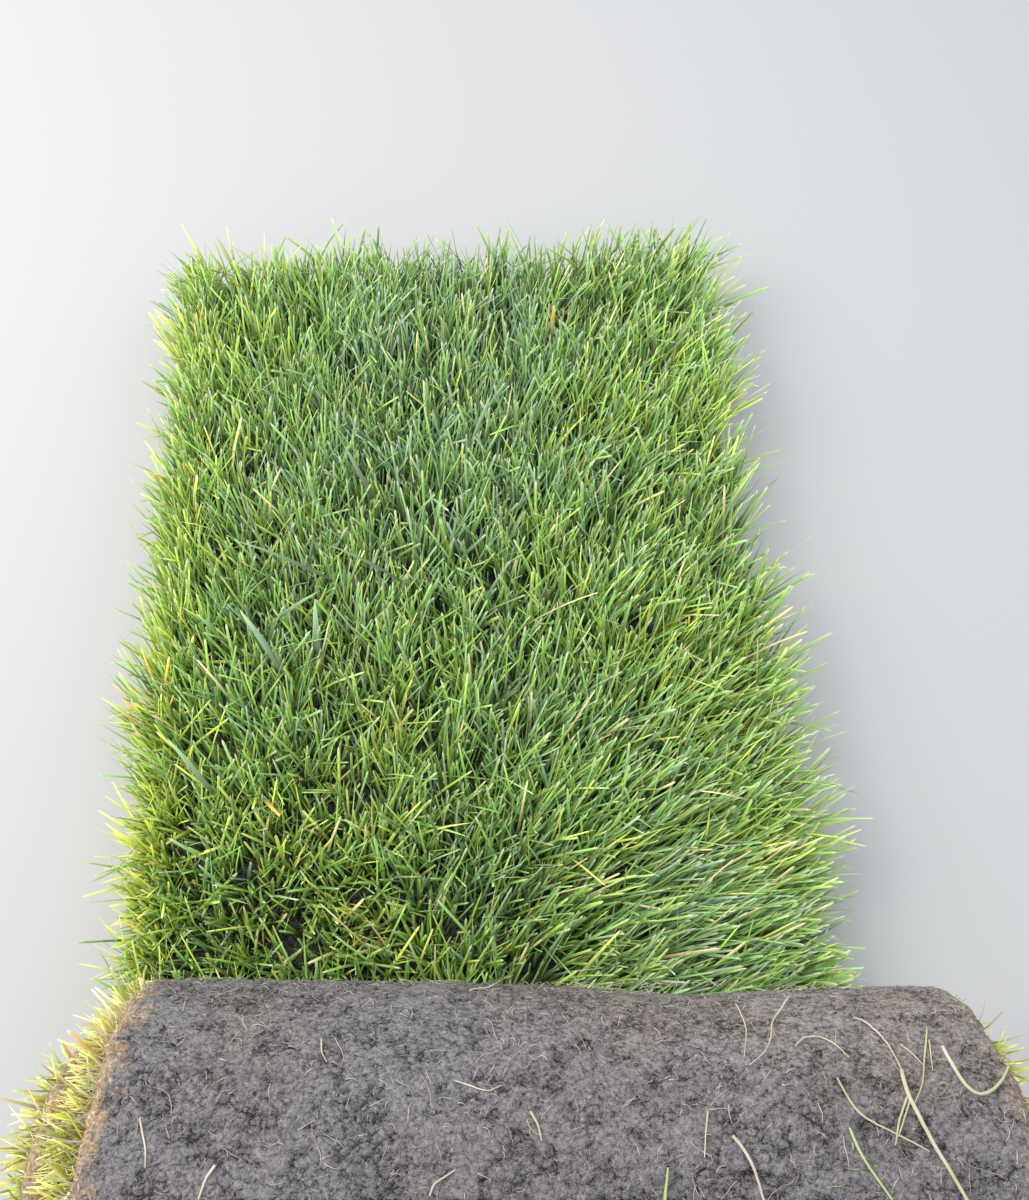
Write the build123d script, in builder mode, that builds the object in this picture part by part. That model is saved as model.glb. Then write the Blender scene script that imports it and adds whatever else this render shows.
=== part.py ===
from build123d import *

import math
import os
from collections import namedtuple

# A strip of cultivated turf, cut from the field and rolled up with its grass inside. It is partly unrolled:
# the far end lies flat with the grass standing up, and the near end is still wound, earth side out, in a roll
# that rests on the flat part. X runs along the roll's axis, the flat part runs off towards +Y, and Z is up.

# Driving dimensions, in millimetres, and degrees where they say so.
strip_width = 400.0  # as cut by the sod harvester
strip_length = 2000.0  # along the middle of the mat, wound part and flat part together
mat_thickness = 16.0  # soil held together by roots
left_height = 25.0  # grass above the mat, up to where its blades close up, at its left and right edges
right_height = 32.0
pressed_thickness = 8.5  # the same grass flattened between two turns
roll_radius = 106.0  # outside of the outermost half turn
eye_gap = 2.0  # least radius left open in the eye of the roll
lay_skew = 3.6  # degrees that the flat part is turned from square to the roll
walk_distance = 30.0  # how far the outer turn has walked sideways off the line of the flat part
slip_distance = 28.0  # how far the inner turns have slipped out of the outer one, to the left
step_distance = 3.0  # how far each half turn after that stands out from the one around it
end_fringe = 6.0  # grass that stands out past the cut edges of the mat
left_lean = 9.0  # how far the tips of the sward lean out past the mat on each free side
right_lean = 18.0
far_lean = 12.0
worn_turns = 2  # half turns, counted from the outside, whose outer edges have crumbled round
edge_round = 6.0  # how round those edges are
corner_round = 20.0  # crumbled corners of the flat part, in plan
sward_round = 14.0  # soft top edge of the standing grass

pitch = mat_thickness + pressed_thickness
half_width = strip_width / 2
near_side, far_side = -1, 1

# A half turn: its outer radius, the height of its centre, the side of the roll that it is on, and how far it
# has drifted sideways at its lowest and at its highest line.
HalfTurn = namedtuple("HalfTurn", "radius centre_height side low_drift high_drift")


def drift(ends_passed):
    """Sideways place of the strip after that many half turns, on its way in from the flat part."""
    if ends_passed == 0:
        return -walk_distance
    if ends_passed in (1, 2):
        return 0.0
    return -slip_distance - step_distance * (ends_passed - 3)


def wind_roll():
    """The half turns from the outside in. Those of each side are concentric, and the far side's centre is
    half a pitch above the near side's, so that every half turn runs smoothly into the next."""
    turns = []
    radius = roll_radius
    while radius - pitch >= eye_gap:
        index = len(turns)
        if index % 2 == 0:
            turn = HalfTurn(radius, roll_radius, near_side, drift(index), drift(index + 1))
        else:
            turn = HalfTurn(radius, roll_radius + pitch / 2, far_side, drift(index + 1), drift(index))
        turns.append(turn)
        radius -= pitch / 2
    return turns


half_turns = wind_roll()
roof = half_turns[1]  # the half turn that arches over the start of the flat part
wound_length = sum(math.pi * (turn.radius - mat_thickness / 2) for turn in half_turns)
flat_length = strip_length - wound_length
widest_drift = walk_distance + slip_distance + step_distance * len(half_turns)


def wound_layer(turn, outside, inside, reach, rim_round=0.0):
    """One half turn of a layer of the strip: a half ring seen along the roll's axis, and the sideways drift
    of its two ends seen from the front. outside and inside are depths below the half turn's outer radius,
    reach is half the layer's width, and rim_round rounds the outer edges of its two ends."""
    low, high = turn.centre_height - turn.radius, turn.centre_height + turn.radius
    slips = abs(turn.high_drift - turn.low_drift) > step_distance
    with BuildPart() as layer:
        with BuildSketch(Plane.YZ):
            with Locations((0, turn.centre_height)):
                Circle(turn.radius - outside)
                Circle(turn.radius - inside, mode=Mode.SUBTRACT)
            with Locations((turn.side * turn.radius / 2, turn.centre_height)):
                Rectangle(turn.radius, 2 * turn.radius, mode=Mode.INTERSECT)
        extrude(amount=reach + widest_drift, both=True)
        with BuildSketch(Plane.XZ):
            with BuildLine():
                for end in (-reach, reach):
                    lower = (end + turn.low_drift, low + pitch)
                    upper = (end + turn.high_drift, high - pitch)
                    Line((end + turn.low_drift, low), lower)
                    if slips:
                        Spline(lower, upper, tangents=[(0, 1), (0, 1)])
                    else:
                        Line(lower, upper)
                    Line(upper, (end + turn.high_drift, high))
                Line((turn.low_drift - reach, low), (turn.low_drift + reach, low))
                Line((turn.high_drift - reach, high), (turn.high_drift + reach, high))
            make_face()
        extrude(amount=turn.radius, both=True, mode=Mode.INTERSECT)
        if rim_round:
            outer_face = layer.faces().filter_by(GeomType.CYLINDER).sort_by(SortBy.AREA)[-1]
            fillet(outer_face.edges().filter_by(Axis.X, reverse=True), radius=rim_round)
    return layer.part


def flat_sketch(plane, margin=0.0):
    """The flat part in plan on that plane, from the line under the roll's axis to the far cut end, with a
    margin on its left, right and far sides."""
    skew = math.radians(lay_skew)
    along = Vector(-math.sin(skew), math.cos(skew))
    across = Vector(math.cos(skew), math.sin(skew))
    start = Vector(drift(0), 0)
    reach = half_width + margin
    end = start + along * (flat_length + margin)
    outline = [
        start - Vector(reach / math.cos(skew), 0),
        start + Vector(reach / math.cos(skew), 0),
        end + across * reach,
        end - across * reach,
    ]
    with BuildSketch(plane) as sketch:
        with BuildLine():
            Polyline(*outline, close=True)
        make_face()
    return sketch.sketch


# The mat of soil and roots: one strip from the far cut end, under the roll and round to the eye.
worn_mat = [wound_layer(turn, 0, mat_thickness, half_width, edge_round) for turn in half_turns[:worn_turns]]
fresh_mat = [wound_layer(turn, 0, mat_thickness, half_width) for turn in half_turns[worn_turns:]]
with BuildPart() as soil_mat:
    add(flat_sketch(Plane.XY))
    extrude(amount=mat_thickness)
    fillet(soil_mat.edges().filter_by(Axis.Z).sort_by(Axis.Y)[-2:], radius=corner_round)
    add(worn_mat + fresh_mat)

# The grass: standing on the flat part, bent under the roll and pressed flat between its turns.
wound_sward = [wound_layer(turn, mat_thickness, pitch, half_width + end_fringe) for turn in half_turns]
grass_face = Plane.XY.offset(mat_thickness)
rise_to_right = math.degrees(math.atan2(right_height - left_height, strip_width))
sward_top = grass_face.offset((left_height + right_height) / 2).rotated((0, -rise_to_right, 0))
block_height = max(left_height, right_height) + end_fringe  # before the slope of the top is cut
with BuildPart() as grass_sward:
    add(flat_sketch(grass_face, end_fringe))
    extrude(amount=block_height)
    for side, lean in ((-Axis.X, left_lean), (Axis.X, right_lean), (Axis.Y, far_lean)):
        wall = grass_sward.faces().sort_by(side)[-1]
        lean_angle = math.degrees(math.atan2(lean - end_fringe, block_height))
        draft(wall, neutral_plane=grass_face, angle=-lean_angle)
    split(bisect_by=sward_top, keep=Keep.BOTTOM)
    far_corners = grass_sward.faces().sort_by(Axis.Y)[-1].edges().sort_by(SortBy.LENGTH)[:2]
    fillet(far_corners, radius=corner_round)
    free_rim = grass_sward.faces().sort_by(Axis.Z)[-1].edges().sort_by(Axis.Y)[1:]
    fillet(free_rim, radius=sward_round)
    with BuildSketch(Plane.YZ):
        with Locations((0, roof.centre_height)):
            Circle(roof.radius)
    extrude(amount=strip_width, both=True, mode=Mode.SUBTRACT)
    add(wound_sward)

# The origin is on the floor, in the middle of the box around the whole object.
boxes = [piece.bounding_box() for piece in (soil_mat.part, grass_sward.part)]
low_x, high_x = min(box.min.X for box in boxes), max(box.max.X for box in boxes)
low_y, high_y = min(box.min.Y for box in boxes), max(box.max.Y for box in boxes)
middle = Vector((low_x + high_x) / 2, (low_y + high_y) / 2)
soil_mat.part.position -= middle
grass_sward.part.position -= middle

os.makedirs("parts", exist_ok=True)
soil_mat.part.label = "soil_mat"
export_step(soil_mat.part, "parts/soil_mat.step")
grass_sward.part.label = "grass_sward"
export_step(grass_sward.part, "parts/grass_sward.step")

for piece in (soil_mat.part, grass_sward.part):
    print(piece.label, "solids", len(piece.solids()), "volume", round(piece.volume), piece.bounding_box())
print("flat length", round(flat_length, 1), "half turns", len(half_turns), "roll axis at", -middle)
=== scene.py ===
"""A partly unrolled roll of cultivated turf.

One strip of rooted soil and grass, 0.40 m wide and 2.0 m long. Its near end is wound with the earth side out,
and its far end lies flat with the grass standing up. X runs along the roll's axis, Y from the roll towards
the far cut end, and Z is up. Lengths are in metres, except where a docstring or a comment says otherwise.
"""

import logging
import math
from dataclasses import dataclass, field, fields
from enum import Enum

import bpy
import numpy as np
from mathutils import Matrix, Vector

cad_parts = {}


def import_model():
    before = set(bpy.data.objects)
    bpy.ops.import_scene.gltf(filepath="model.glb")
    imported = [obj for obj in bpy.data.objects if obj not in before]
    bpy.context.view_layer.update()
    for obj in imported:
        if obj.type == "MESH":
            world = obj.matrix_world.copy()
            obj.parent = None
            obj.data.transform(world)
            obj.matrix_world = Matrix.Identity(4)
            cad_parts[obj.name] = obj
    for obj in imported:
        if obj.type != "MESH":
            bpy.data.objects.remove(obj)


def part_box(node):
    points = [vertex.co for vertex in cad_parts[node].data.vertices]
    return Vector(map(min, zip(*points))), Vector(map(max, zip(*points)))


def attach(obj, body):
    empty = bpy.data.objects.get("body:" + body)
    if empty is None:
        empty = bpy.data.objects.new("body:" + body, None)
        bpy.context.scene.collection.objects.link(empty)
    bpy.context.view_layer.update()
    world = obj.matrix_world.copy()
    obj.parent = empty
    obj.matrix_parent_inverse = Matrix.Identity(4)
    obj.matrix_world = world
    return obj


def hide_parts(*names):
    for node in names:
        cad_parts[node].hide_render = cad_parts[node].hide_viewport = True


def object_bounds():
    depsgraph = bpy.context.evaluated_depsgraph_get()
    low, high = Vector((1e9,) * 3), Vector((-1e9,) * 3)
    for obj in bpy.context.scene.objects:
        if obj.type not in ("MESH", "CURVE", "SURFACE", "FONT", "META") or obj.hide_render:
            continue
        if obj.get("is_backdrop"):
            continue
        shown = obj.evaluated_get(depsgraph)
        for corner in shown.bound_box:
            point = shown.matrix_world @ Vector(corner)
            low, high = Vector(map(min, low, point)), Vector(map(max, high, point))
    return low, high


log = logging.getLogger("turf")

Array = np.ndarray
Piece = bpy.types.Object
Material = bpy.types.Material
Node = bpy.types.Node
Socket = bpy.types.NodeSocket
Strands = tuple[Array, Array, Array]  # middle lines, radii and normals

MM = 0.001
BAKE_MAP = "OFBake"  # the UV map that carries each blade's place in the blade pattern
BLADE_MAP = "blade"  # the same map, under the name that the materials read


class Side(Enum):
    """A long side of the strip, by the sign of its place across."""

    LEFT = -1
    RIGHT = 1


# Noise worked out as whole arrays.

MIX_X, MIX_Y, MIX_SEED = 374761393, 668265263, 974634777
STIR_FIRST, STIR_SECOND = 1274126177, 2246822519
ALL_BITS, KEPT_BITS = 0xFFFFFFFF, 0xFFFFFF


def lattice(ix: Array, iy: Array, seed: int) -> Array:
    """A fixed random number for each lattice point: its numbers and the seed, each multiplied by a large
    number and added up, with the bits of the sum stirred three times.

    Args:
        ix: Whole-number place along the first direction.
        iy: Whole-number place along the second direction.
        seed: Chooses the pattern.

    Returns:
        Numbers from 0 to 1.
    """
    h = ix.astype(np.int64) * MIX_X + iy.astype(np.int64) * MIX_Y + seed * MIX_SEED
    h = (h ^ (h >> 13)) * STIR_FIRST & ALL_BITS
    h = (h ^ (h >> 16)) * STIR_SECOND & ALL_BITS
    return ((h ^ (h >> 15)) & KEPT_BITS) / float(KEPT_BITS)


def waves(x: Array, y: Array, seed: int) -> Array:
    """Smooth value noise: lattice numbers blended by the quintic 6t^5 - 15t^4 + 10t^3.

    Args:
        x: Place along the first direction, in cells.
        y: Place along the second direction, in cells.
        seed: Chooses the pattern.

    Returns:
        Numbers from -1 to 1.
    """
    ix, iy = np.floor(x), np.floor(y)
    fx, fy = x - ix, y - iy
    ux = fx**3 * (fx * (fx * 6 - 15) + 10)
    uy = fy**3 * (fy * (fy * 6 - 15) + 10)
    low = lattice(ix, iy, seed) * (1 - ux) + lattice(ix + 1, iy, seed) * ux
    high = lattice(ix, iy + 1, seed) * (1 - ux) + lattice(ix + 1, iy + 1, seed) * ux
    return (low * (1 - uy) + high * uy) * 2 - 1


def layered(
    x: Array, y: Array, seed: int, *layers: tuple, base: Array | float = 0.0, shift: Array | float = 0.0
) -> Array:
    """A sum of smooth noises.

    Args:
        x: Place along the first direction.
        y: Place along the second direction.
        seed: Chooses the pattern.
        *layers: Each noise's height, the sizes of its cells along x and y, and what it adds to the seed.
        base: What the noises are added to.
        shift: Cells that every noise is moved by along y.

    Returns:
        The base plus each height times its noise.
    """
    total = base
    for height, size_x, size_y, own_seed in layers:
        total = total + height * waves(x / size_x, y / size_y + shift, seed + own_seed)
    return total


def clods(x: Array, y: Array, seed: int) -> tuple[Array, Array]:
    """Cell noise: each lattice cell holds one point at a fixed random place.

    Args:
        x: Place along the first direction, in cells.
        y: Place along the second direction, in cells.
        seed: Chooses the pattern.

    Returns:
        The distances to the nearest and to the second nearest point, in cells.
    """
    ix, iy = np.floor(x), np.floor(y)
    nearest = np.full(np.shape(x), np.inf)
    second = nearest.copy()
    for dx in (-1, 0, 1):
        for dy in (-1, 0, 1):
            cx, cy = ix + dx, iy + dy
            gap = np.hypot(cx + lattice(cx, cy, seed) - x, cy + lattice(cx, cy, seed + 77) - y)
            second = np.minimum(second, np.maximum(nearest, gap))
            nearest = np.minimum(nearest, gap)
    return nearest, second


def ease(x: Array, low: float, high: float) -> Array:
    """Runs smoothly from 0 at low to 1 at high, by 3t^2 - 2t^3."""
    t = np.clip((x - low) / (high - low), 0, 1)
    return t * t * (3 - 2 * t)


def bell(x: Array, middle: float, size: float) -> Array:
    """A bell that is 1 at its middle and falls by e to the minus square of the distance in sizes."""
    return np.exp(-(((x - middle) / size) ** 2))


# The strip's own geometry, as the solids have it.


@dataclass(frozen=True)
class Strip:
    """The wound and laid strip. A point of it is named by how far it lies along the strip from the line under
    the roll (negative on the flat part), how far across, and how deep from the earth face."""

    axis_x: float
    axis_y: float
    width: float = 400 * MM
    length: float = 2000 * MM
    mat: float = 16 * MM
    pressed: float = 8.5 * MM
    radius: float = 106 * MM
    eye: float = 2 * MM
    skew: float = math.radians(3.6)
    walk: float = 30 * MM
    slip: float = 28 * MM
    step: float = 3 * MM

    @property
    def pitch(self) -> float:
        """Thickness of one turn, mat and pressed grass together."""
        return self.mat + self.pressed

    @property
    def radii(self) -> Array:
        """Outer radius of each half turn, from the outside in."""
        count = int((self.radius - self.pitch - self.eye) / (self.pitch / 2)) + 1
        return self.radius - np.arange(count) * self.pitch / 2

    @property
    def starts(self) -> Array:
        """Where each half turn starts along the strip, and where the last one ends."""
        return np.concatenate([[0.0], np.cumsum(math.pi * (self.radii - self.mat / 2))])

    @property
    def flat(self) -> float:
        """Length of the flat part."""
        return self.length - float(self.starts[-1])

    @property
    def roof_height(self) -> float:
        """Height of the centre of the half turns on the far side."""
        return self.radius + self.pitch / 2

    def drifts(self) -> Array:
        """Sideways place of the strip after each half turn, on its way in from the flat part."""
        inner = -self.slip - self.step * np.arange(len(self.radii) - 2)
        return np.concatenate([[-self.walk, 0.0, 0.0], inner])

    def place(self, s: Array, w: Array, depth: Array) -> Array:
        """Points of the strip in space. On the flat part the point runs straight between the line under the
        roll and the cut end, turned by the skew. On half turn k it lies on the circle of radius r_k - depth,
        at the angle (s - start_k) / (r_k - mat / 2), shifted along the axis by the drift at its height.

        Args:
            s: Distance along the strip.
            w: Distance across the strip from its middle.
            depth: Distance from the earth face towards the grass.

        Returns:
            An array of points with a last dimension of 3.
        """
        s, w, depth = np.broadcast_arrays(s, w, depth)
        share = np.maximum(-s, 0) / self.flat
        flat_x = -self.walk - share * self.flat * math.sin(self.skew)
        flat_x = flat_x + w * (1 - share + share * math.cos(self.skew))
        flat_y = share * (self.flat * math.cos(self.skew) + w * math.sin(self.skew))
        turn = np.clip(np.searchsorted(self.starts, s, side="right") - 1, 0, len(self.radii) - 1)
        near = turn % 2 == 0
        outer = self.radii[turn]
        angle = (s - self.starts[turn]) / (outer - self.mat / 2)
        centre = np.where(near, self.radius, self.roof_height)
        arm = outer - depth
        round_y = np.where(near, -1, 1) * arm * np.sin(angle)
        round_z = centre - np.where(near, 1, -1) * arm * np.cos(angle)
        drifts = self.drifts()
        low = np.where(near, drifts[turn], drifts[turn + 1])
        high = np.where(near, drifts[turn + 1], drifts[turn])
        climb = (round_z - centre + outer - self.pitch) / (2 * (outer - self.pitch))
        round_x = w + low + (high - low) * ease(climb, 0, 1)
        laid = s < 0
        x = np.where(laid, flat_x, round_x) + self.axis_x
        y = np.where(laid, flat_y, round_y) + self.axis_y
        return np.stack([x, y, np.where(laid, depth, round_z)], -1)

    def lifted_off(self, points: Array, gap: float) -> Array:
        """Points that would lie inside the roll, pushed straight out of it to its far face.

        Args:
            points: Any points, with a last dimension of 3.
            gap: How far off the roll's face they stay.

        Returns:
            The points, moved where they had to be.
        """
        y, z = points[..., 1] - self.axis_y, points[..., 2] - self.roof_height
        reach = np.hypot(y, z)
        least = self.radius - self.pitch / 2 + gap
        beside = np.abs(points[..., 0] - self.axis_x) < self.width / 2 + 2 * MM
        push = np.where((reach < least) & beside & (y > -30 * MM), least / np.maximum(reach, MM), 1.0)
        moved = points.copy()
        moved[..., 1] = self.axis_y + y * push
        moved[..., 2] = self.roof_height + z * push
        return moved


# Meshes from arrays.


def put_in_scene(name: str, data: bpy.types.ID) -> Piece:
    """Makes an object of a mesh, a camera or a lamp and links it to the scene."""
    made = bpy.data.objects.new(name, data)
    bpy.context.scene.collection.objects.link(made)
    return made


def new_object(name: str, points: Array, faces: list[Array]) -> Piece:
    """Makes a smooth-shaded mesh object at the origin from whole arrays.

    Args:
        name: The piece's name.
        points: Vertex places, one row of 3 each.
        faces: Arrays of vertex numbers, each with as many columns as its faces have corners.

    Returns:
        The new object, in the scene.
    """
    mesh = bpy.data.meshes.new(name)
    mesh.vertices.add(len(points))
    mesh.vertices.foreach_set("co", np.ascontiguousarray(points, np.float32).ravel())
    sizes = np.concatenate([np.full(len(f), f.shape[1]) for f in faces])
    corners = np.concatenate([f.ravel() for f in faces])
    mesh.loops.add(len(corners))
    mesh.loops.foreach_set("vertex_index", corners.astype(np.int32))
    mesh.polygons.add(len(sizes))
    mesh.polygons.foreach_set("loop_start", (np.cumsum(sizes) - sizes).astype(np.int32))
    mesh.polygons.foreach_set("use_smooth", np.ones(len(sizes), bool))
    mesh.update(calc_edges=True)
    return put_in_scene(name, mesh)


def closed_tube(rows: int, around: int) -> list[Array]:
    """Faces of a tube of that many rings of points, with its two ends closed by fans of triangles.

    Args:
        rows: Number of rings.
        around: Points in a ring, in the order that turns the faces outwards.

    Returns:
        Quads of the wall and triangles of the two ends, for points in ring order with the middle of the first
        end and the middle of the last end after them.
    """
    i, j = np.meshgrid(np.arange(rows - 1), np.arange(around), indexing="ij")
    a, b = i * around + j, i * around + (j + 1) % around
    wall = np.stack([a, b, b + around, a + around], -1).reshape(-1, 4)
    ring = np.arange(around)
    after = (ring + 1) % around
    last_ring, middle = (rows - 1) * around, np.full(around, rows * around)
    start = np.stack([after, ring, middle], -1)
    end = np.stack([ring + last_ring, after + last_ring, middle + 1], -1)
    return [wall, np.concatenate([start, end])]


def with_end_middles(rings: Array) -> Array:
    """Ring values as rows, followed by the mean of the first ring and the mean of the last one.

    Args:
        rings: Values as rings by points in a ring, by 3 for places.

    Returns:
        One row for each vertex of a closed tube.
    """
    return np.concatenate([rings.reshape(-1, *rings.shape[2:]), rings[[0, -1]].mean(1)])


def put_number(made: Piece, name: str, values: Array) -> None:
    """Stores one number for each vertex under that name."""
    numbers = made.data.attributes.new(name, "FLOAT", "POINT")
    numbers.data.foreach_set("value", values.astype(np.float32).ravel())


# Shader nodes.


class Nodes:
    """A small hand for building a node tree from left to right."""

    def __init__(self, tree: bpy.types.NodeTree) -> None:
        """Starts on an empty tree."""
        self.tree = tree

    def add(self, kind: str, settings: dict | None = None, **links: object) -> Node:
        """Adds a node. Links are by socket name with spaces written as underscores.

        Args:
            kind: The node's type name after ShaderNode.
            settings: Properties of the node, such as its operation.
            **links: For each input, a value or an output socket.

        Returns:
            The new node.
        """
        node = self.tree.nodes.new("ShaderNode" + kind)
        for key, value in (settings or {}).items():
            setattr(node, key, value)
        for key, value in links.items():
            self.feed(node.inputs[key.replace("_", " ")], value)
        return node

    def feed(self, socket: Socket, value: object) -> None:
        """Links a socket to an output, or sets its own value.

        Args:
            socket: The input to feed.
            value: An output socket or a plain value.
        """
        if isinstance(value, bpy.types.NodeSocket):
            self.tree.links.new(value, socket)
        else:
            socket.default_value = value

    def maths(self, operation: str, first: object, second: object = 0.0) -> Socket:
        """The result of a Math node.

        Args:
            operation: The node's operation.
            first: Its first number.
            second: Its second number, where the operation takes one.

        Returns:
            The node's output.
        """
        node = self.add("Math", {"operation": operation})
        self.feed(node.inputs[0], first)
        self.feed(node.inputs[1], second)
        return node.outputs[0]

    def times(self, first: object, second: object) -> Socket:
        """The product of two numbers."""
        return self.maths("MULTIPLY", first, second)

    def add_up(self, base: object, *parts: tuple[object, float]) -> Socket:
        """A sum of weighted numbers.

        Args:
            base: What the sum starts from.
            *parts: Numbers, each with its weight.

        Returns:
            The sum.
        """
        for number, weight in parts:
            base = self.maths("ADD", self.times(number, weight), base)
        return base

    def shifted(self, where: Socket, by: object) -> Socket:
        """Coordinates moved by a vector.

        Args:
            where: The coordinates.
            by: The vector, as numbers or as an output.

        Returns:
            The moved coordinates.
        """
        node = self.add("VectorMath", {"operation": "ADD"})
        self.feed(node.inputs[0], where)
        self.feed(node.inputs[1], by)
        return node.outputs[0]

    def blend(self, factor: object, first: object, second: object, kind: str = "MIX") -> Socket:
        """The result of a colour Mix node.

        Args:
            factor: How much of the second colour is used.
            first: The first colour.
            second: The second colour.
            kind: How they are blended.

        Returns:
            The blended colour.
        """
        node = self.add("Mix", {"data_type": "RGBA", "blend_type": kind, "clamp_result": False})
        for index, value in ((0, factor), (6, first), (7, second)):
            self.feed(node.inputs[index], value)
        return node.outputs[2]

    def shaded(self, colour: object, light: Socket) -> Socket:
        """A colour multiplied by one number."""
        grey = self.add("CombineXYZ", X=light, Y=light, Z=light).outputs[0]
        return self.blend(1.0, colour, grey, "MULTIPLY")

    def stretch(self, value: object, low: float, high: float, start: float, end: float) -> Socket:
        """A number moved from one range to another and kept inside it.

        Args:
            value: The number.
            low: Where its range starts.
            high: Where its range ends.
            start: What it becomes at low.
            end: What it becomes at high.

        Returns:
            The moved number.
        """
        node = self.add("MapRange", Value=value)
        for index, number in enumerate((low, high, start, end), start=1):
            node.inputs[index].default_value = number
        return node.outputs[0]

    def ramp(self, value: object, *stops: tuple[float, tuple]) -> Socket:
        """The colour of a Color Ramp node.

        Args:
            value: The place on the ramp.
            *stops: Places from 0 to 1, each with its linear colour.

        Returns:
            The colour there.
        """
        node = self.add("ValToRGB", Fac=value)
        bar = node.color_ramp
        while len(bar.elements) < len(stops):
            bar.elements.new(1.0)
        for element, (place, colour) in zip(bar.elements, stops):
            element.position = place
            element.color = colour
        return node.outputs["Color"]

    def number(self, name: str) -> Socket:
        """The number that the mesh carries under that name."""
        return self.add("Attribute", {"attribute_name": name}).outputs["Fac"]

    def use(self, group: bpy.types.NodeTree, **values: object) -> Node:
        """A node group on Object coordinates, with its other inputs set."""
        where = self.add("TexCoord").outputs["Object"]
        return self.add("Group", {"node_tree": group}, Vector=where, **values)

    def bump(self, shader: Node, height: Socket, distance: float) -> None:
        """Gives a shader a bumped normal of that height over that distance."""
        raised = self.add("Bump", Strength=1.0, Distance=distance, Height=height)
        self.feed(shader.inputs["Normal"], raised.outputs[0])


def linear(red: int, green: int, blue: int) -> tuple[float, float, float, float]:
    """The linear colour of display values from 0 to 255."""
    parts = [c / 255 for c in (red, green, blue)]
    return (*[c / 12.92 if c <= 0.04045 else ((c + 0.055) / 1.055) ** 2.4 for c in parts], 1.0)


def new_group(name: str, inputs: tuple[str, ...], outputs: tuple[str, ...]) -> tuple[Nodes, Node, Node]:
    """An empty node group. Its input Vector takes coordinates, and its other sockets are numbers.

    Args:
        name: The group's name.
        inputs: Names of its inputs.
        outputs: Names of its outputs.

    Returns:
        A hand on its nodes, its input node and its output node.
    """
    tree = bpy.data.node_groups.new(name, "ShaderNodeTree")
    for way, names in (("INPUT", inputs), ("OUTPUT", outputs)):
        for socket in names:
            kind = "NodeSocketVector" if socket == "Vector" else "NodeSocketFloat"
            tree.interface.new_socket(socket, in_out=way, socket_type=kind)
    return Nodes(tree), tree.nodes.new("NodeGroupInput"), tree.nodes.new("NodeGroupOutput")


def grain_group() -> bpy.types.NodeTree:
    """The grain that earth, thatch and rootlets share: three sizes of soft noise.

    Returns:
        A group with inputs Vector, Fine, Middle and Broad, in cells per metre, and outputs Fine, Middle and
        Broad, from 0 to 1, and Height, the sum of 0.45 of the fine and 0.55 of the middle one.
    """
    sizes = ("Fine", "Middle", "Broad")
    n, given, out = new_group("grain", ("Vector", *sizes), (*sizes, "Height"))
    made = {}
    for name, detail in zip(sizes, (2.0, 4.0, 3.0)):
        noise = n.add("TexNoise", Vector=given.outputs["Vector"], Scale=given.outputs[name], Detail=detail)
        made[name] = n.stretch(noise.outputs[0], 0.28, 0.72, 0.0, 1.0)
        n.feed(out.inputs[name], made[name])
    n.feed(out.inputs["Height"], n.add_up(n.times(made["Fine"], 0.45), (made["Middle"], 0.55)))
    return n.tree


def matted_group() -> bpy.types.NodeTree:
    """A mat of fine roots: thin crooked lines where three soft noises cross their middle value.

    Returns:
        A group with inputs Vector and Size, in cells per metre, and the output Lines, from 0 to 1.
    """
    n, given, out = new_group("matted", ("Vector", "Size"), ("Lines",))
    lines = 0.0
    for shift, share in ((0.0, 1.0), (3.7, 0.7), (8.1, 1.5)):
        moved = n.shifted(given.outputs["Vector"], (shift, shift * 0.7, -shift))
        size = n.times(given.outputs["Size"], share)
        noise = n.add("TexNoise", Vector=moved, Scale=size, Detail=1.0, Distortion=1.2)
        off = n.maths("ABSOLUTE", n.maths("SUBTRACT", noise.outputs[0], 0.5))
        lines = n.maths("MAXIMUM", lines, n.stretch(off, 0.005, 0.024, 1.0, 0.0))
    n.feed(out.inputs["Lines"], lines)
    return n.tree


def crumb_group() -> bpy.types.NodeTree:
    """Caked earth: flat plates, lumps and crumbs with thin cracks between them, wider along the roll's axis
    than across it. They are cells of three sizes on coordinates shaken by a noise.

    Returns:
        A group with inputs Vector and Size, in lumps per metre, and outputs SeamShade, the painted shade in
        the cracks, and Height, from 0 to 1.
    """
    n, given, out = new_group("crumbs", ("Vector", "Size"), ("SeamShade", "Height"))
    where, size = given.outputs["Vector"], given.outputs["Size"]
    shake = n.add("TexNoise", Vector=where, Scale=size, Detail=2.0).outputs["Color"]
    amount = n.add("VectorMath", {"operation": "SCALE"}, Scale=3.2 * MM)
    n.feed(amount.inputs[0], shake)
    flat = n.add("Mapping", Vector=n.shifted(where, amount.outputs[0]), Scale=(0.68, 1.0, 1.0)).outputs[0]
    seam_shade, height = 0.0, 0.0
    for share, groove, weight in ((0.38, 0.05, 0.34), (1.0, 0.13, 0.44), (2.1, 0.2, 0.22)):
        own = n.times(size, share)
        cell = n.add("TexVoronoi", {"feature": "DISTANCE_TO_EDGE"}, Vector=flat, Scale=own)
        from_edge = cell.outputs["Distance"]
        open_here = n.add("TexNoise", Vector=flat, Scale=n.times(own, 0.75), Detail=1.0).outputs[0]
        # Painted shade in the cracks between crumbs, stronger where a noise opens them.
        crack = n.stretch(from_edge, 0.0, groove, 1.0, 0.0)
        seam_shade = n.add_up(seam_shade, (n.times(crack, n.stretch(open_here, 0.4, 0.58, 0.1, 1.0)), weight))
        height = n.add_up(height, (n.stretch(from_edge, 0.0, groove * 1.5, 0.0, 1.0), weight))
    n.feed(out.inputs["SeamShade"], seam_shade)
    n.feed(out.inputs["Height"], height)
    return n.tree


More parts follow.
